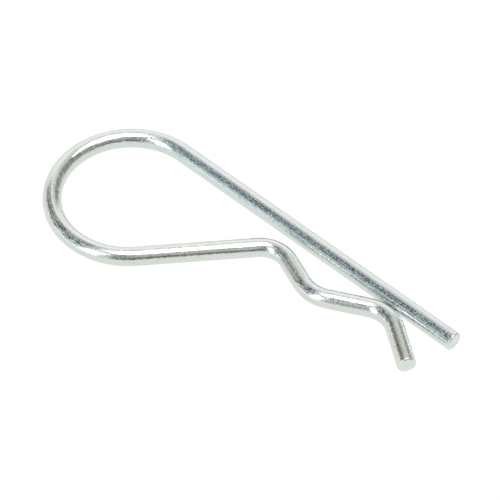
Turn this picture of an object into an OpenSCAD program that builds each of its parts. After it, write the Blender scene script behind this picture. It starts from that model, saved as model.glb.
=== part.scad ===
// R clip: one length of round spring wire, bent flat into a finger loop, a
// straight leg and a sprung leg that follows the outside of a shaft.
// The straight leg goes through the shaft's cross hole. The sprung leg rides
// over the shaft until the shaft lies in its seat.
// The clip lies on its side on the XY plane: +X runs from the loop to the
// tips, and the sprung leg is on the -Y side of the straight one.

/* [Wire] */
// Diameter of the round wire
wire_d = 4; // [3:0.25:5]
// How much thinner the wire is drawn where it is bent
bend_thinning = 0.02; // [0.01:0.01:0.1]
// Radius of the rounded rim on each cut end
rim_r = 0.3; // [0.1:0.05:0.8]

/* [Loop] */
// Inside diameter of the finger loop
loop_inner_d = 28.5; // [22:0.5:36]

/* [Straight leg] */
// Reach of the straight leg, from the middle of the loop to its tip
leg_l = 74.7; // [66:0.1:90]

/* [Throat] */
// Distance along the leg from the middle of the loop to the throat
throat_x = 33.6; // [30:0.1:45]
// Clear gap between the two legs at the throat
throat_gap = 2.4; // [1:0.1:4]
// Inside radius of the bend at the throat
throat_bend_r = 4.3; // [3:0.1:5.5]

/* [Seat] */
// Diameter of the shaft that the clip holds
shaft_d = 16; // [14:0.5:20]
// How far the seat presses in on the shaft when the clip is in place
seat_preload = 0.15; // [0:0.05:1]
// Distance along the leg from the throat to the middle of the seat
seat_pitch = 11.3; // [10.5:0.1:16]
// Inside radius of the bend at the seat
seat_bend_r = 5.8; // [4:0.1:6]

/* [Lead-in] */
// Distance along the leg from the middle of the seat to the lead-in hump
hump_pitch = 14.6; // [14:0.1:20]
// Clear gap between the hump and the straight leg, with nothing in the clip
hump_gap = 0.1; // [0.1:0.1:1]
// Inside radius of the bend at the hump
hump_bend_r = 5; // [3.5:0.1:5.5]
// Length of the flared end, from the hump's bend to its tip
flare_l = 9.8; // [6:0.1:14]
// Angle between the flared end and the straight leg
flare_angle = 35; // [25:1:45]

/* [Hidden] */

$fn = 72;

wire_r = wire_d / 2;

// A bend is a round former that the wire wraps: its centre, the radius of
// the wire's middle line round it, and the side it turns to, 1 for left and
// -1 for right. The straight leg's middle line is the line Y = 0.
LEFT = 1;
RIGHT = -1;
loop_r = loop_inner_d / 2 + wire_r;
throat_r = throat_bend_r + wire_r;
seat_r = seat_bend_r + wire_r;
hump_r = hump_bend_r + wire_r;

// Depths below the straight leg's middle line of the sprung leg's middle
// line, where it passes closest to the leg or furthest from it
throat_depth = wire_d + throat_gap;
seat_depth = shaft_d / 2 - seat_preload + wire_r;
hump_depth = wire_d + hump_gap;

seat_x = throat_x + seat_pitch;
hump_x = seat_x + hump_pitch;

bends = [
    [[0, -loop_r], loop_r, LEFT],
    [[throat_x, -throat_depth - throat_r], throat_r, RIGHT],
    [[seat_x, -seat_depth + seat_r], seat_r, LEFT],
    [[hump_x, -hump_depth - hump_r], hump_r, RIGHT],
];
last = len(bends) - 1;

// Heading of the straight stretch from bend a to bend b, which turn opposite
// ways: the crossed tangent of the two circles
function heading_between(a, b) =
    let (step = b[0] - a[0])
    atan2(step.y, step.x) + a[2] * asin((a[1] + b[1]) / norm(step));

// The wire comes off the straight leg towards -X and leaves along the flare
headings = concat(
    [-180],
    [for (i = [1:last]) heading_between(bends[i - 1], bends[i])],
    [-flare_angle]
);

// Where the wire's middle line touches a bend's circle at a heading
function touch(bend, heading) =
    bend[0] + bend[2] * bend[1] * [sin(heading), -cos(heading)];

flare_start = touch(bends[last], -flare_angle);
flare_tip = flare_start + flare_l * [cos(flare_angle), -sin(flare_angle)];

// Middle of the clip's outline, which stands over the origin
x_low = -loop_r - wire_r;
x_high = max(leg_l, flare_tip.x);
middle = [(x_low + x_high) / 2, -loop_r];

// How far each bend runs on inside the straight wire at its two ends
lap = wire_d / 40;

// Puts something drawn along +Z on the wire's middle line, at a heading
module on_line(start, heading) {
    translate([start.x, start.y, 0])
        rotate([0, 90, heading])
            children();
}

// A straight stretch of wire between two points of its middle line
module straight(start, end) {
    run = end - start;
    on_line(start, atan2(run.y, run.x))
        cylinder(h = norm(run), r = wire_r);
}

// A straight stretch that ends in a flat cut face with a rounded rim
module cut_wire(start, heading, length) {
    flat_r = wire_r - rim_r;
    on_line(start, heading)
        rotate_extrude() {
            square([wire_r, length - rim_r]);
            translate([0, length - rim_r]) {
                square([flat_r, rim_r]);
                translate([flat_r, 0])
                    intersection() {
                        circle(r = rim_r);
                        square(rim_r);
                    }
            }
        }
}

// Wire wrapped round a bend's former, from one heading to the next
module wrapped(bend, heading_in, heading_out) {
    run_on = lap / bend[1] * 180 / PI;
    first = min(heading_in, heading_out) - run_on;
    turn = abs(heading_out - heading_in) + 2 * run_on;
    translate([bend[0].x, bend[0].y, 0])
        rotate([0, 0, first - bend[2] * 90])
            rotate_extrude(angle = turn)
                translate([bend[1], 0])
                    circle(r = (wire_d - bend_thinning) / 2);
}

module r_clip() {
    color([0.78, 0.80, 0.80])
        translate([-middle.x, -middle.y, wire_r]) {
            cut_wire([0, 0], 0, leg_l);
            for (i = [0:last])
                wrapped(bends[i], headings[i], headings[i + 1]);
            for (i = [1:last])
                straight(touch(bends[i - 1], headings[i]), touch(bends[i], headings[i]));
            cut_wire(flare_start, -flare_angle, flare_l);
        }
}

r_clip();
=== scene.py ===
import math

import bpy
import numpy as np
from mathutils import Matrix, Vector


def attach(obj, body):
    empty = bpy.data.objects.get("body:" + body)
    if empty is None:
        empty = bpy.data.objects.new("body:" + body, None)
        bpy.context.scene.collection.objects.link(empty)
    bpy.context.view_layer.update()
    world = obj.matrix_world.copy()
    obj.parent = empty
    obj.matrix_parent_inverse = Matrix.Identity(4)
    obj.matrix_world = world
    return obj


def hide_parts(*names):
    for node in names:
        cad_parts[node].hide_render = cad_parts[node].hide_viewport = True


bl_info = {
    "name": "Spring Wire R Clip",
    "version": (1, 0, 0),
    "blender": (4, 5, 0),
    "location": "3D View > Sidebar > R Clip",
    "description": "A zinc plated R clip, bent from round wire, on a white table",
    "category": "Add Mesh",
}

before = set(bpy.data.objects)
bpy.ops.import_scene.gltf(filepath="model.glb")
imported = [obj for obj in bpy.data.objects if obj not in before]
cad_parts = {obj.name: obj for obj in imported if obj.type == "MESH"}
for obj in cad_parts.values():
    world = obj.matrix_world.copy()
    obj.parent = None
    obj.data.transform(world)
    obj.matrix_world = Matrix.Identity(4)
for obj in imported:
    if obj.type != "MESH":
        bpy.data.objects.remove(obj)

MM = 0.001
LEFT, RIGHT = 1, -1


def length(name, description, millimetres):
    """A length property, written in millimetres and kept in metres."""
    return bpy.props.FloatProperty(
        name=name, description=description, default=millimetres * MM,
        precision=5, subtype="DISTANCE", unit="LENGTH")


def angle(name, description, degrees):
    """An angle property, written in degrees and kept in radians."""
    return bpy.props.FloatProperty(
        name=name, description=description, default=math.radians(degrees),
        subtype="ANGLE", unit="ROTATION")


def share(name, description, value, top=1.0):
    """A plain number from 0 to its top value."""
    return bpy.props.FloatProperty(
        name=name, description=description, default=value, min=0.0, max=top, precision=3)


def colour(name, description, value):
    """A linear colour."""
    return bpy.props.FloatVectorProperty(
        name=name, description=description, default=value, size=3, min=0.0, max=2.0,
        subtype="COLOR")


class RClipWire(bpy.types.PropertyGroup):
    """Sizes of the bent wire."""

    wire_diameter: length("Wire", "Diameter of the round wire", 4.0)
    loop_inner_diameter: length("Loop", "Inside diameter of the finger loop", 28.5)
    leg_reach: length("Leg", "From the middle of the loop to the straight tip", 74.7)
    throat_reach: length("Throat", "From the middle of the loop to the throat", 33.6)
    throat_gap: length("Throat gap", "Clear gap between the legs at the throat", 2.4)
    throat_bend: length("Throat bend", "Inside radius of the throat bend", 4.3)
    shaft_diameter: length("Shaft", "Diameter of the shaft that the clip holds", 16.0)
    seat_preload: length("Seat preload", "How far the seat presses in on the shaft", 0.15)
    seat_pitch: length("Seat pitch", "From the throat to the middle of the seat", 11.3)
    seat_bend: length("Seat bend", "Inside radius of the seat bend", 5.8)
    hump_pitch: length("Hump pitch", "From the seat to the lead-in hump", 14.6)
    hump_gap: length("Hump gap", "Clear gap between the hump and the straight leg", 0.1)
    hump_bend: length("Hump bend", "Inside radius of the hump bend", 5.0)
    flare_length: length("Flare", "Length of the flared end", 9.8)
    flare_angle: angle("Flare angle", "Between the flared end and the straight leg", 35.0)
    rim_radius: length("Rim", "Radius of the rounded rim on each cut end", 0.4)
    face_dip: length("Face dip", "How deep the middle of each cut face lies", 0.03)
    easing: length("Easing", "Length over which the wire eases into a bend", 1.6)
    bend_squeeze: share(
        "Bend squeeze", "Share of its thickness that wire loses in a bend", 0.012, 0.1)
    squeeze_radius: length(
        "Squeeze radius", "Radius of a bend whose squeeze is whole", 7.0)


class RClipFinish(bpy.types.PropertyGroup):
    """Look of the plated wire."""

    zinc: colour("Zinc", "Bright zinc plate", (0.76, 0.80, 0.755))
    blue_zinc: colour("Blue zinc", "Plate of the straight leg", (0.738, 0.80, 0.788))
    faint_blue_zinc: colour(
        "Faint blue zinc", "Plate halfway from bright to blue", (0.749, 0.80, 0.7715))
    straw_zinc: colour("Straw zinc", "Plate of the flared end", (0.775, 0.80, 0.735))
    worn_zinc: colour("Worn zinc", "In the die lines and scuffs", (0.60, 0.63, 0.62))
    cut_face: colour("Cut face", "Plate on the sheared ends", (0.81, 0.88, 0.845))
    pit: colour("Pit", "Floor of a pit in the plate", (0.28, 0.26, 0.23))
    tint_wander: length("Tint wander", "How far the bounds of the tints wander", 30.0)
    line_wear: share("Line wear", "How much the die lines show as worn zinc", 0.4)
    scuff_wear: share("Scuff wear", "How much the scuffs show as worn zinc", 0.6)
    pit_stain: share("Pit stain", "How much the pits show their floor", 0.8)
    roughness: share("Roughness", "Roughness of the smooth plate", 0.05)
    dull_roughness: share("Dull roughness", "Roughness of the dull flecks", 0.42)
    scuff_roughness: share("Scuff roughness", "Roughness that a scuff adds", 0.15)
    pit_roughness: share("Pit roughness", "Roughness that a pit adds", 0.3)
    cut_roughness: share("Cut roughness", "Roughness that a cut face adds", 0.2)
    crystal_height: length("Crystal height", "Height of the plate's crystals", 0.02)
    bead_height: length("Bead height", "Height of the tiny beads on the plate", 0.04)
    line_depth: length("Line depth", "Depth of the die lines along the wire", 0.02)
    wave_depth: length("Wave depth", "Height of the slow waves along the wire", 0.03)
    grip_depth: length("Grip depth", "Depth of the cutter's marks by the tip", 0.035)
    pit_depth: length("Pit depth", "Depth of the pits", 0.02)
    cut_depth: length("Cut depth", "Height of the coarse grain on a cut face", 0.03)


class RClipStudio(bpy.types.PropertyGroup):
    """Camera, table and light of the studio."""

    lens: bpy.props.FloatProperty(
        name="Lens", description="Focal length of the camera, in millimetres",
        default=227.55)
    camera_distance: length("Camera distance", "From the camera to its target", 649.43)
    camera_heading: angle("Camera heading", "Turn of the line of sight about +Z", 42.486)
    camera_height: angle("Camera height", "How steeply the camera looks down", 50.387)
    target: bpy.props.FloatVectorProperty(
        name="Target", description="Point that the camera looks at",
        default=(-0.000006, 0.006192, 0.002), size=3,
        subtype="TRANSLATION", unit="LENGTH")
    table_size: length("Table", "Side of the square white table", 6000.0)
    table_colour: colour("Table colour", "The table's paper", (0.88, 0.885, 0.88))
    fibre_colour: colour("Fibre colour", "Fibres in the table's paper", (0.8, 0.8, 0.8))
    table_glow: share("Table glow", "Share of the table that glows evenly", 0.94)
    table_seen: colour(
        "Table seen", "The table's glow for the camera", (1.06, 1.06, 1.06))
    table_mirrored: colour(
        "Table mirrored", "The table's glow where metal mirrors it", (0.90, 0.915, 0.885))
    sweep_top: angle("Sweep top", "How high the pale floor sweeps up at its edge", 8.0)
    sweep_edge: angle("Sweep edge", "Softness of the sweep's top edge", 3.0)
    room_level: share("Room", "Brightness of the room between the cards", 0.51, 2.0)
    room_clutter: share("Clutter", "Contrast of the things that stand about", 0.95)
    clutter_elsewhere: share(
        "Clutter elsewhere", "Share of that contrast away from the left", 0.35)
    clutter_scale: share("Clutter scale", "How finely the room is cluttered", 10.4, 40.0)
    clutter_edge: share(
        "Clutter edge", "How softly the clutter goes from dark to light", 0.03)
    lamp_power: share("Lamp power", "Brightness of the room and all its cards", 1.0, 4.0)


# What the clip sees round it, from the back to the front: name, bearing
# clockwise from the camera's line of sight, height above the table, roll, half
# width, half height, soft edge of the width and of the height, all in degrees,
# and colour. The clutter stands before the walls, the cards before the clutter,
# the floor's sweep before the cards, and what stands on the table before that.
STUDIO_WALLS = (
    ("pale panel beside the backdrop", -52, 12, 0, 24, 12, 16, 14, (0.76, 0.77, 0.75)),
    ("blue-grey wall on the left", -112, 26, 0, 24, 26, 10, 8, (0.447, 0.517, 0.553)),
    ("grey wall beside the backdrop", -60, 39, -12, 19, 20, 14, 6, (0.29, 0.295, 0.287)),
    ("grey wall on the right", 101, 21, -56, 60, 50, 10, 6, (0.32, 0.32, 0.30)),
    ("dark wall behind the camera", 168, 11, 19, 31, 20, 8, 5, (0.185, 0.18, 0.165)),
    ("blue wall past the softbox", -162, 48, 0, 10, 22, 8, 12, (0.345, 0.365, 0.395)),
    ("blue strip by the softbox", -74, 61, -137, 24, 6, 4, 6, (0.245, 0.288, 0.33)),
)
STUDIO_CARDS = (
    ("gap over the backdrop", 17, 48, -113, 31, 15, 10, 6, (0.67, 0.69, 0.68)),
    ("white backdrop", 3, 8, 38, 29, 40, 12, 12, (1.08, 1.04, 1.05)),
    ("softbox overhead", 97, 80, 12, 21, 21, 4, 21, (2.5, 2.35, 2.4)),
)
STUDIO_STANDING = (
    ("pale blue sill on the left", -112, 3, 0, 26, 8, 12, 3, (1.1, 1.18, 1.21)),
    ("softbox on the left", -133, 19, 4, 11, 40, 6, 14, (1.6, 1.62, 1.87)),
)

# Middle of the clutter, as bearing and height in degrees, and the cosines of
# the angles from there at which it begins to fade, and has faded
CLUTTER_MIDDLE = (-105, 45)
CLUTTER_FADE = (0.9, 0.6)

# Cosines of the angles to a card's middle at which the card is edge on, and
# shows in full
CARD_FACING = (0.02, 0.12)

# Tint of the plate by distance from the straight tip, in millimetres
PLATE_TINTS = {
    0: "faint_blue_zinc", 15: "blue_zinc", 32: "faint_blue_zinc", 75: "blue_zinc",
    105: "zinc", 156: "zinc", 167: "blue_zinc", 180: "zinc", 196: "zinc",
    206: "straw_zinc",
}

# Grain of each pattern: features to a millimetre along the wire and across it
PATCH_GRAIN = (0.04, 0.12)
CRYSTAL_GRAIN = (1.5, 5.0)
DULL_GRAIN = (2.0, 5.0)
BEAD_GRAIN = (2.5, 4.0)
LINE_GRAIN = (0.06, 4.0)
WAVE_GRAIN = (0.10, 0.30)
TINT_GRAIN = (0.05, 0.22)
PIT_GRAIN = (0.9, 1.5)
SCUFF_GRAIN = (2.4, 1.1)
GRIP_GRAIN = (1.5, 2.6)
CUT_GRAIN = (1.2, 1.2)

# Levels of the noise between which a pattern comes up
PATCH_LEVELS = (0.35, 0.65)
DULL_LEVELS = (0.64, 0.66)
LINE_LEVELS = (0.56, 0.75)
SCUFF_LEVELS = (0.58, 0.72)

# Radius of a spot in cells of its grain, and the share of cells that hold one
BEADS = (0.35, 0.25)
PITS = (0.16, 0.05)
# Share of a spot's radius within which it is whole
SPOT_CORE = 0.6

# Relief of the crystals in the smoothest and the roughest patches
PATCH_RELIEF = (0.7, 1.5)
# Strain of the bent metal at which scuffs begin, and are whole
SCUFF_STRAIN = (-0.1, -0.25)
# Millimetres from the straight tip at which the cutter's marks begin, and are
# whole
GRIP_REACH = (9.0, 2.0)
# Share of the cut face's finish that is left where the rim meets the wire
RIM_FINISH = 0.5

# The table's paper: features to a millimetre, levels of the noise, and share of
# plain paper where the fibres are thickest and thinnest
PAPER_GRAIN = (0.9, 0.9)
PAPER_LEVELS = (0.3, 0.7)
PAPER_SHARES = (0.8, 1.0)

# Least distance between two rows of the mesh
ROW_GAP = 0.001 * MM


# ---------------------------------------------------------------- wire line

def bend_table(clip):
    """The bends along the wire, each as its centre, the radius of the wire's
    middle line and the side it turns to. The straight leg's middle line is the
    line y = 0, and x is 0 at the middle of the loop."""
    half = clip.wire_diameter / 2
    loop_r = clip.loop_inner_diameter / 2 + half
    throat_r, seat_r, hump_r = (
        inside + half for inside in (clip.throat_bend, clip.seat_bend, clip.hump_bend))
    throat_y = -(clip.wire_diameter + clip.throat_gap)
    seat_y = -(clip.shaft_diameter / 2 - clip.seat_preload + half)
    hump_y = -(clip.wire_diameter + clip.hump_gap)
    seat_x = clip.throat_reach + clip.seat_pitch
    return [
        (np.array([0.0, -loop_r]), loop_r, LEFT),
        (np.array([clip.throat_reach, throat_y - throat_r]), throat_r, RIGHT),
        (np.array([seat_x, seat_y + seat_r]), seat_r, LEFT),
        (np.array([seat_x + clip.hump_pitch, hump_y - hump_r]), hump_r, RIGHT),
    ]


def touch(bend, heading):
    """Where the middle line touches a bend's circle at a heading: the centre
    plus or minus the radius times the heading's normal."""
    centre, radius, side = bend
    return centre + side * radius * np.array([math.sin(heading), -math.cos(heading)])


def bend_headings(clip, bends):
    """Heading of the wire before and after each bend. Between two bends that
    turn opposite ways the wire runs along the crossed tangent of their circles:
    the heading of the line of centres, plus or minus the arcsine of the two
    radii's sum over the distance between the centres."""
    headings = [-math.pi]
    for (here, r_here, side), (there, r_there, _) in zip(bends, bends[1:]):
        step = there - here
        lean = math.asin((r_here + r_there) / np.hypot(*step))
        headings.append(math.atan2(step[1], step[0]) + side * lean)
    return headings + [-clip.flare_angle]


def wire_line(clip, steps, window=33):
    """Middle line of the wire from the straight tip to the flared tip, as equal
    steps: distance along the wire, points, headings and bending.
    The exact heading is constant along a straight and changes evenly round a
    bend. Its mean over a short window, weighted by 1 + cos, eases the wire into
    each bend, and the running sum of unit steps along it gives the points. What
    little the easing moves the flared tip is taken back evenly along the wire.
    Bending is the change of heading over the distance."""
    bends = bend_table(clip)
    headings = bend_headings(clip, bends)
    stations, turns = [0.0, clip.leg_reach], [-math.pi, -math.pi]
    for i, bend in enumerate(bends):
        stations.append(stations[-1] + bend[1] * abs(headings[i + 1] - headings[i]))
        turns.append(headings[i + 1])
        if i + 1 < len(bends):
            run = touch(bends[i + 1], headings[i + 1]) - touch(bend, headings[i + 1])
            stations.append(stations[-1] + np.hypot(*run))
            turns.append(headings[i + 1])
    stations.append(stations[-1] + clip.flare_length)
    turns.append(turns[-1])

    whole = stations[-1]
    s = np.linspace(0.0, whole, steps)
    offsets = np.linspace(-0.5, 0.5, window) * clip.easing
    weights = 1 + np.cos(offsets / clip.easing * 2 * math.pi)
    spread = np.interp(s[:, None] + offsets, stations, turns)
    heading = (spread * weights).sum(1) / weights.sum()
    middle = (heading[1:] + heading[:-1]) / 2
    unit_steps = np.stack([np.cos(middle), np.sin(middle)], 1)
    start = [clip.leg_reach, 0.0]
    points = np.vstack([start, start + (unit_steps * (s[1] - s[0])).cumsum(0)])
    flare = np.array([math.cos(-clip.flare_angle), math.sin(-clip.flare_angle)])
    tip = touch(bends[-1], headings[-1]) + clip.flare_length * flare
    points += (tip - points[-1]) * (s / whole)[:, None]
    return s, points, heading, np.gradient(heading, s)


def row_frame(clip, points):
    """Points of the clip's own plane in the shared frame: the middle of the
    outline comes to x = 0, and the loop's middle to y = 0."""
    loop_r = (clip.loop_inner_diameter + clip.wire_diameter) / 2
    low = -loop_r - clip.wire_diameter / 2
    high = max(clip.leg_reach, points[-1, 0])
    return points + [-(low + high) / 2, loop_r]


# ---------------------------------------------------------------- wire mesh

def end_rows(clip, face_rings, rim_rings):
    """Rows of one cut end, from the middle outwards: depth below the tip and
    radius. The face dips by its depth times 1 - r^2, where r is 0 at its middle
    and 1 at its edge, and the rim is a quarter circle."""
    half, rim = clip.wire_diameter / 2, clip.rim_radius
    out = np.linspace(0, 1, face_rings + 1)[1:]
    face_r = (half - rim) * out
    face_s = clip.face_dip * (1 - out ** 2)
    turn = np.linspace(0, math.pi / 2, rim_rings + 1)[1:]
    rim_r = half - rim + rim * np.sin(turn)
    rim_s = rim * (1 - np.cos(turn))
    return np.concatenate([face_s, rim_s]), np.concatenate([face_r, rim_r])


def closed_tube(name, centres, sides, t, radii, poles):
    """A tube closed at both ends: point = centre + radius * (cos t * side +
    sin t * up), on a grid of rows by angles t, with a fan of triangles to the
    pole at each end. Radii may change with the row and with t."""
    rows, around = radii.shape
    up = np.array([0.0, 0.0, 1.0])
    ring = (np.cos(t)[None, :, None] * sides[:, None, :]
            + np.sin(t)[None, :, None] * up)
    grid = centres[:, None, :] + radii[:, :, None] * ring
    points = np.vstack([grid.reshape(-1, 3), poles])

    here = np.arange(rows * around).reshape(rows, around)
    beside = np.roll(here, -1, axis=1)
    quads = np.stack([here[:-1], beside[:-1], beside[1:], here[1:]], -1)
    first_pole, last_pole = (np.full(around, rows * around + end) for end in (0, 1))
    fans = np.vstack([
        np.stack([first_pole, beside[0], here[0]], 1),
        np.stack([last_pole, here[-1], beside[-1]], 1)])
    mesh = bpy.data.meshes.new(name)
    mesh.from_pydata(points, [], quads.reshape(-1, 4).tolist() + fans.tolist())
    mesh.shade_smooth()
    return mesh


def keep_on_points(mesh, name, kind, values):
    """Writes one value or vector per vertex into a named attribute."""
    layer = mesh.attributes.new(name, kind, "POINT")
    field = "vector" if kind == "FLOAT_VECTOR" else "value"
    layer.data.foreach_set(field, np.ascontiguousarray(values, np.float32).ravel())


def bent_wire_mesh(clip, along=840, around=92, face_rings=10, rim_rings=6):
    """The whole clip as one closed surface, with a round section that is
    squeezed across each bend by a share that grows with the bending.
    Each vertex also keeps its place in the wire as it was before bending,
    straight along x, so that the grain of the drawn wire follows every bend,
    the strain of the metal there, which is its distance from the middle line
    times the bending, positive on the inner side, and whether it is on a cut
    face."""
    s, points, heading, bending = wire_line(clip, along)
    points = row_frame(clip, points)
    whole, half = s[-1], clip.wire_diameter / 2

    end_s, end_r = end_rows(clip, face_rings, rim_rings)
    clear = end_s[-1] + ROW_GAP
    between = s[(s > clear) & (s < whole - clear)]
    row_s = np.concatenate([end_s, between, whole - end_s[::-1]])
    row_r = np.concatenate([end_r, np.full(len(between), half), end_r[::-1]])
    x, y, heading, bending = (
        np.interp(row_s, s, v) for v in (points[:, 0], points[:, 1], heading, bending))
    centres = np.stack([x, y, np.full(len(row_s), half)], 1)
    sides = np.stack([-np.sin(heading), np.cos(heading), np.zeros(len(row_s))], 1)

    t = np.arange(around) / around * 2 * math.pi
    tightness = np.clip(np.abs(bending) * clip.squeeze_radius, 0, 1)
    squeeze = clip.bend_squeeze * tightness[:, None] * np.cos(t) ** 2
    radii = row_r[:, None] * (1 - squeeze)
    pole_s = np.array([clip.face_dip, whole - clip.face_dip])
    poles = np.stack([np.interp(pole_s, s, points[:, 0]),
                      np.interp(pole_s, s, points[:, 1]), np.full(2, half)], 1)
    mesh = closed_tube("bent_wire", centres, sides, t, radii, poles)

    drawn = np.stack([np.repeat(row_s[:, None], around, 1),
                      radii * np.cos(t), radii * np.sin(t)], -1).reshape(-1, 3)
    drawn = np.vstack([drawn, pole_s[:, None] * [1, 0, 0]])
    keep_on_points(mesh, "drawn", "FLOAT_VECTOR", drawn)
    strain = (bending[:, None] * half * np.cos(t)).ravel()
    keep_on_points(mesh, "bent", "FLOAT", np.append(strain, [0, 0]))
    end_cut = np.append(np.ones(face_rings), np.linspace(1, RIM_FINISH, rim_rings))
    cut = np.concatenate([end_cut, np.zeros(len(between)), end_cut[::-1]])
    keep_on_points(mesh, "cut", "FLOAT", np.append(np.repeat(cut, around), [1, 1]))
    return mesh


# ---------------------------------------------------------------- shader maths

class Socket:
    """One value in a node tree. Sums, products and quotients add Math nodes."""

    def __init__(self, tree, output=None):
        self.tree, self.output = tree, output

    def node(self, kind, settings=None, sockets=None, out=0):
        """Adds a node of a kind, sets its settings, such as a ramp's stops, then
        fills or links its sockets, by name or number, and gives back its
        output."""
        made = self.tree.nodes.new(kind)
        for name, value in (settings or {}).items():
            if name == "stops":
                while len(made.color_ramp.elements) < len(value):
                    made.color_ramp.elements.new(1.0)
                for element, (place, tone) in zip(made.color_ramp.elements, value):
                    element.position, element.color = place, (*tone, 1)
            else:
                setattr(made, name, value)
        for key, value in (sockets or {}).items():
            if isinstance(value, Socket):
                self.tree.links.new(value.output, made.inputs[key])
            else:
                made.inputs[key].default_value = value
        return Socket(self.tree, made.outputs[out] if made.outputs else None)

    def math(self, operation, *others):
        """A Math node of this value and others."""
        return self.node("ShaderNodeMath", {"operation": operation},
                         dict(enumerate((self, *others))))

    def __add__(self, other):
        return self.math("ADD", other)

    def __sub__(self, other):
        return self.math("SUBTRACT", other)

    def __rsub__(self, other):
        return self.node("ShaderNodeMath", {"operation": "SUBTRACT"}, {0: other, 1: self})

    def __mul__(self, other):
        return self.math("MULTIPLY", other)

    def __truediv__(self, other):
        return self.math("DIVIDE", other)

    def __rtruediv__(self, other):
        return self.node("ShaderNodeMath", {"operation": "DIVIDE"}, {0: other, 1: self})

    __radd__, __rmul__ = __add__, __mul__

    def ramp(self, low, high, to_low=0.0, to_high=1.0):
        """Goes smoothly from one value to another as this goes from low to high."""
        return self.node("ShaderNodeMapRange", {"interpolation_type": "SMOOTHSTEP"}, {
            "Value": self, "From Min": low, "From Max": high,
            "To Min": to_low, "To Max": to_high})

    def stretched(self, along, across):
        """This vector, stretched along x and across it."""
        return self.node("ShaderNodeVectorMath", {"operation": "MULTIPLY"},
                         {0: self, 1: (along, across, across)})

    def scaled(self, factor):
        """This colour or vector, times a number."""
        return self.node("ShaderNodeVectorMath", {"operation": "SCALE"},
                         {0: self, "Scale": factor})

    def along(self, direction):
        """Part of this vector along a direction."""
        return self.node("ShaderNodeVectorMath", {"operation": "DOT_PRODUCT"},
                         {0: self, 1: direction}, out="Value")

    def mix(self, low, high):
        """A colour between two others, by this factor."""
        sides = {key: tone if isinstance(tone, Socket) else (*tone, 1)
                 for key, tone in ((6, low), (7, high))}
        return self.node("ShaderNodeMix", {"data_type": "RGBA"},
                         {0: self, **sides}, out=2)

    def tones(self, stops):
        """A colour that goes from tone to tone, which stand at values of this
        from 0 upwards."""
        top = max(stops)
        return self.node("ShaderNodeValToRGB", {
            "stops": [(at / top, tone) for at, tone in stops.items()]}, {0: self / top})

    def noise(self, grain, detail, roughness=0.5):
        """Soft noise with a grain of so many features to a unit along x and
        across it."""
        return self.node("ShaderNodeTexNoise", {"noise_dimensions": "3D"}, {
            "Vector": self.stretched(*grain), "Scale": 1.0, "Detail": detail,
            "Roughness": roughness}, out="Fac")

    def spots(self, grain, size, chance):
        """Round spots of a size in some of the cells of a grain, 1 inside and 0
        outside. Each cell draws a colour, and its red says whether it has one."""
        cells = self.stretched(*grain)
        reach, lot = (
            self.node("ShaderNodeTexVoronoi", {"feature": "F1"},
                      {"Vector": cells, "Scale": 1.0}, out=out)
            for out in ("Distance", "Color"))
        pick = lot.along((1, 0, 0)).math("LESS_THAN", chance)
        return reach.ramp(size, size * SPOT_CORE) * pick


def new_tree(owner):
    """An empty node tree of a material or a world."""
    owner.use_nodes = True
    owner.node_tree.nodes.clear()
    return Socket(owner.node_tree)


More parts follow.
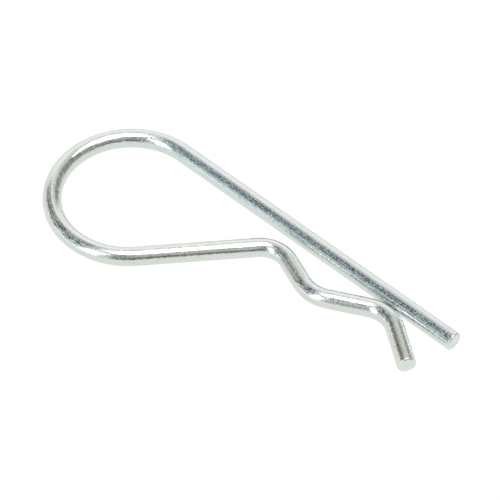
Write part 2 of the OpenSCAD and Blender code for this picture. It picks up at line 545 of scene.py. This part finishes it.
def zinc_wire_material(look):
    """Bright zinc plate over drawn wire. Crystals of zinc, drawn out along the
    wire and higher in some patches than in others, and tiny beads tilt what it
    mirrors. Some flecks are dull, die lines and slow waves run the whole length,
    and the cutter's grip has marked the straight tip. The tint goes slowly
    between neutral, blue and straw, the outer side of each tight bend is
    scuffed, a few pits go through the plate, and the cut ends are coarser."""
    material = bpy.data.materials.new("bright_zinc_on_drawn_wire")
    tree = new_tree(material)
    drawn = tree.node("ShaderNodeAttribute", {"attribute_name": "drawn"}, out="Vector")
    strain = tree.node("ShaderNodeAttribute", {"attribute_name": "bent"}, out="Fac")
    cut = tree.node("ShaderNodeAttribute", {"attribute_name": "cut"}, out="Fac")
    place = drawn.stretched(1 / MM, 1 / MM)
    from_tip = place.along((1, 0, 0))

    relief = place.noise(PATCH_GRAIN, detail=1.0).ramp(*PATCH_LEVELS, *PATCH_RELIEF)
    crystals = place.noise(CRYSTAL_GRAIN, detail=1.0) * relief
    dull = place.noise(DULL_GRAIN, detail=1.0).ramp(*DULL_LEVELS)
    beads = place.spots(BEAD_GRAIN, *BEADS)
    lines = place.noise(LINE_GRAIN, detail=2.0, roughness=0.6)
    waves = place.noise(WAVE_GRAIN, detail=1.0)
    pits = place.spots(PIT_GRAIN, *PITS)
    scuffs = place.noise(SCUFF_GRAIN, detail=2.0).ramp(*SCUFF_LEVELS)
    scuffs = scuffs * strain.ramp(*SCUFF_STRAIN)
    gripped = place.noise(GRIP_GRAIN, detail=1.0) * from_tip.ramp(*GRIP_REACH)
    coarse = cut * place.noise(CUT_GRAIN, detail=2.0)

    wander = (place.noise(TINT_GRAIN, detail=2.0) - 0.5) * (look.tint_wander / MM)
    plate = (from_tip + wander).tones(
        {at: getattr(look, tint) for at, tint in PLATE_TINTS.items()})
    plate = (lines.ramp(*LINE_LEVELS) * look.line_wear).mix(plate, look.worn_zinc)
    plate = (scuffs * look.scuff_wear).mix(plate, look.worn_zinc)
    plate = (pits * look.pit_stain).mix(plate, look.pit)
    plate = cut.mix(plate, look.cut_face)

    roughness = look.roughness + dull * (look.dull_roughness - look.roughness)
    roughness = (roughness + scuffs * look.scuff_roughness
                 + pits * look.pit_roughness + cut * look.cut_roughness)

    height = crystals * (look.crystal_height / MM) + lines * (look.line_depth / MM)
    height = height + waves * (look.wave_depth / MM) + beads * (look.bead_height / MM)
    height = height + gripped * (look.grip_depth / MM) - pits * (look.pit_depth / MM)
    height = height + coarse * (look.cut_depth / MM)
    bump = tree.node("ShaderNodeBump", None, {
        "Strength": 1.0, "Distance": MM, "Height": height})
    surface = tree.node("ShaderNodeBsdfPrincipled", None, {
        "Base Color": plate, "Metallic": 1.0, "Roughness": roughness, "Normal": bump})
    tree.node("ShaderNodeOutputMaterial", None, {"Surface": surface})
    return material


# ---------------------------------------------------------------- studio

def card_axes(bearing, height, roll):
    """Axes of a card that faces the clip: towards it, across it and up it.
    Towards it is (sin b cos h, cos b cos h, sin h) for bearing b clockwise from
    +Y and height h; across is level, and both others turn by the roll."""
    b, h, r = np.radians([bearing, height, roll])
    to = np.array([math.sin(b) * math.cos(h), math.cos(b) * math.cos(h), math.sin(h)])
    level = np.array([math.cos(b), -math.sin(b), 0.0])
    up = np.cross(level, to)
    return (tuple(to), tuple(level * math.cos(r) + up * math.sin(r)),
            tuple(up * math.cos(r) - level * math.sin(r)))


def card_seen(sky, axes, half_sizes, edges):
    """1 where a direction meets a card and 0 beside it, with soft edges: the
    direction's two offsets on the card's plane, each over the part towards the
    card, against the tangents of the card's half sizes."""
    to, across, up = axes
    towards = sky.along(to)
    seen = towards.ramp(*CARD_FACING)
    for axis, half, edge in zip((across, up), half_sizes, edges):
        part = sky.along(axis) / towards.math("MAXIMUM", CARD_FACING[0])
        offset = part.math("ABSOLUTE")
        rim, soft = math.tan(math.radians(half)), math.tan(math.radians(edge)) / 2
        seen = seen * offset.ramp(rim + soft, rim - soft)
    return seen


def set_out(room, sky, cards, turn):
    """The room's colour with cards in front of it, each before the last."""
    for _, bearing, height, roll, wide, high, soft_wide, soft_high, tone in cards:
        axes = card_axes(bearing - turn, height, roll)
        seen = card_seen(sky, axes, (wide, high), (soft_wide, soft_high))
        room = seen.mix(room, tone)
    return room


def studio_world(studio):
    """The room round the clip: white where the camera looks, and for the light
    a grey room. Its walls and the things that stand about before them, mainly
    on the left, come first, then the pale cards, then the floor, which sweeps up
    a little at its edge, and last what stands on the table."""
    world = bpy.data.worlds.new("studio_room")
    tree = new_tree(world)
    sky = tree.node("ShaderNodeTexCoord", out="Generated")
    turn = math.degrees(studio.camera_heading)
    room = set_out([studio.room_level] * 3, sky, STUDIO_WALLS, turn)

    bearing, height = CLUTTER_MIDDLE
    near, far = CLUTTER_FADE
    towards = sky.along(card_axes(bearing - turn, height, 0)[0])
    amount = towards.ramp(far, near, studio.clutter_elsewhere, 1.0)
    clutter = sky.noise([studio.clutter_scale] * 2, detail=2.0, roughness=0.6).ramp(
        0.5 - studio.clutter_edge, 0.5 + studio.clutter_edge, -1.0, 1.0)
    room = room.scaled(clutter * amount * studio.room_clutter + 1.0)

    room = set_out(room, sky, STUDIO_CARDS, turn)
    sweep = sky.along((0, 0, 1)).ramp(
        math.sin(studio.sweep_top + studio.sweep_edge),
        math.sin(studio.sweep_top - studio.sweep_edge))
    room = sweep.mix(room, studio.table_mirrored)
    room = set_out(room, sky, STUDIO_STANDING, turn)

    lit = tree.node("ShaderNodeBackground", None, {
        "Color": room, "Strength": studio.lamp_power})
    white = tree.node("ShaderNodeBackground", None, {
        "Color": (1, 1, 1, 1), "Strength": 1.0})
    camera = tree.node("ShaderNodeLightPath", out="Is Camera Ray")
    both = tree.node("ShaderNodeMixShader", None, {0: camera, 1: lit, 2: white})
    tree.node("ShaderNodeOutputWorld", None, {"Surface": both})
    bpy.context.scene.world = world


def table_material(studio):
    """White paper: it takes the light and the clip's shadow, and on top of that
    it glows evenly for the camera and where metal mirrors it."""
    material = bpy.data.materials.new("white_table")
    tree = new_tree(material)
    place = tree.node("ShaderNodeTexCoord", out="Object").stretched(1 / MM, 1 / MM)
    plain = place.noise(PAPER_GRAIN, detail=2.0).ramp(*PAPER_LEVELS, *PAPER_SHARES)
    paper = plain.mix(studio.fibre_colour, studio.table_colour)
    matt = tree.node("ShaderNodeBsdfDiffuse", None, {"Color": paper})
    seen = tree.node("ShaderNodeLightPath", out="Is Camera Ray")
    mirrored = tree.node("ShaderNodeLightPath", out="Is Glossy Ray")
    glow = tree.node("ShaderNodeEmission", None, {
        "Color": mirrored.mix(studio.table_seen, studio.table_mirrored),
        "Strength": 1.0})
    mixed = tree.node("ShaderNodeMixShader", None, {
        0: (seen + mirrored) * studio.table_glow, 1: matt, 2: glow})
    tree.node("ShaderNodeOutputMaterial", None, {"Surface": mixed})
    return material


def studio_table(studio):
    """A flat square table at z = 0."""
    side = studio.table_size / 2
    corners = np.array([[-1, -1, 0], [1, -1, 0], [1, 1, 0], [-1, 1, 0]]) * side
    mesh = bpy.data.meshes.new("white_table")
    mesh.from_pydata(corners, [], [[0, 1, 2, 3]])
    mesh.materials.append(table_material(studio))
    table = bpy.data.objects.new("white_table", mesh)
    bpy.context.scene.collection.objects.link(table)


def studio_camera(studio):
    """A long lens that looks down at the clip over the flared tip's side. From
    its target it stands back along (sin t cos d, -cos t cos d, sin d), for its
    turn t about +Z and the angle d at which it looks down."""
    turn, down = studio.camera_heading, studio.camera_height
    back = Vector((math.sin(turn) * math.cos(down), -math.cos(turn) * math.cos(down),
                   math.sin(down)))
    data = bpy.data.cameras.new("studio_camera")
    data.lens, data.sensor_width = studio.lens, 36.0
    data.clip_start, data.clip_end = 0.01, 20.0
    camera = bpy.data.objects.new("studio_camera", data)
    camera.location = Vector(studio.target) + back * studio.camera_distance
    camera.rotation_mode = "QUATERNION"
    camera.rotation_quaternion = (-back).to_track_quat("-Z", "Y")
    bpy.context.scene.collection.objects.link(camera)
    bpy.context.scene.camera = camera


# ---------------------------------------------------------------- operators

class RCLIP_OT_bend_wire(bpy.types.Operator):
    """Bends one length of plated wire into the clip"""

    bl_idname = "rclip.bend_wire"
    bl_label = "Bend the wire"

    def execute(self, context):
        mesh = bent_wire_mesh(context.scene.rclip_wire)
        mesh.materials.append(zinc_wire_material(context.scene.rclip_finish))
        wire = bpy.data.objects.new("bent_wire", mesh)
        context.scene.collection.objects.link(wire)
        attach(wire, "root")
        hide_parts("r_clip")
        return {"FINISHED"}


class RCLIP_OT_set_studio(bpy.types.Operator):
    """Sets up the white table, the soft light and the camera"""

    bl_idname = "rclip.set_studio"
    bl_label = "Set up the studio"

    def execute(self, context):
        studio = context.scene.rclip_studio
        studio_table(studio)
        studio_world(studio)
        studio_camera(studio)
        context.scene.view_settings.view_transform = "Standard"
        return {"FINISHED"}


class RCLIP_PT_sidebar(bpy.types.Panel):
    """Sizes, finish and studio of the R clip"""

    bl_idname = "RCLIP_PT_sidebar"
    bl_label = "R Clip"
    bl_space_type = "VIEW_3D"
    bl_region_type = "UI"
    bl_category = "R Clip"

    def draw(self, context):
        for group in GROUPS:
            settings = getattr(context.scene, group)
            box = self.layout.box()
            for name in settings.__annotations__:
                box.prop(settings, name)
        self.layout.operator(RCLIP_OT_bend_wire.bl_idname)
        self.layout.operator(RCLIP_OT_set_studio.bl_idname)


CLASSES = (RClipWire, RClipFinish, RClipStudio,
           RCLIP_OT_bend_wire, RCLIP_OT_set_studio, RCLIP_PT_sidebar)
GROUPS = {"rclip_wire": RClipWire, "rclip_finish": RClipFinish,
          "rclip_studio": RClipStudio}


def register():
    """Adds the classes, and the three groups of settings to the scene."""
    for made in CLASSES:
        bpy.utils.register_class(made)
    for name, group in GROUPS.items():
        setattr(bpy.types.Scene, name, bpy.props.PointerProperty(type=group))


def unregister():
    """Takes away what register adds."""
    for name in GROUPS:
        delattr(bpy.types.Scene, name)
    for made in reversed(CLASSES):
        bpy.utils.unregister_class(made)


def main():
    """Makes the clip and its studio."""
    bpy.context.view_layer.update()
    register()
    bpy.ops.rclip.bend_wire()
    bpy.ops.rclip.set_studio()


if __name__ == "__main__":
    main()
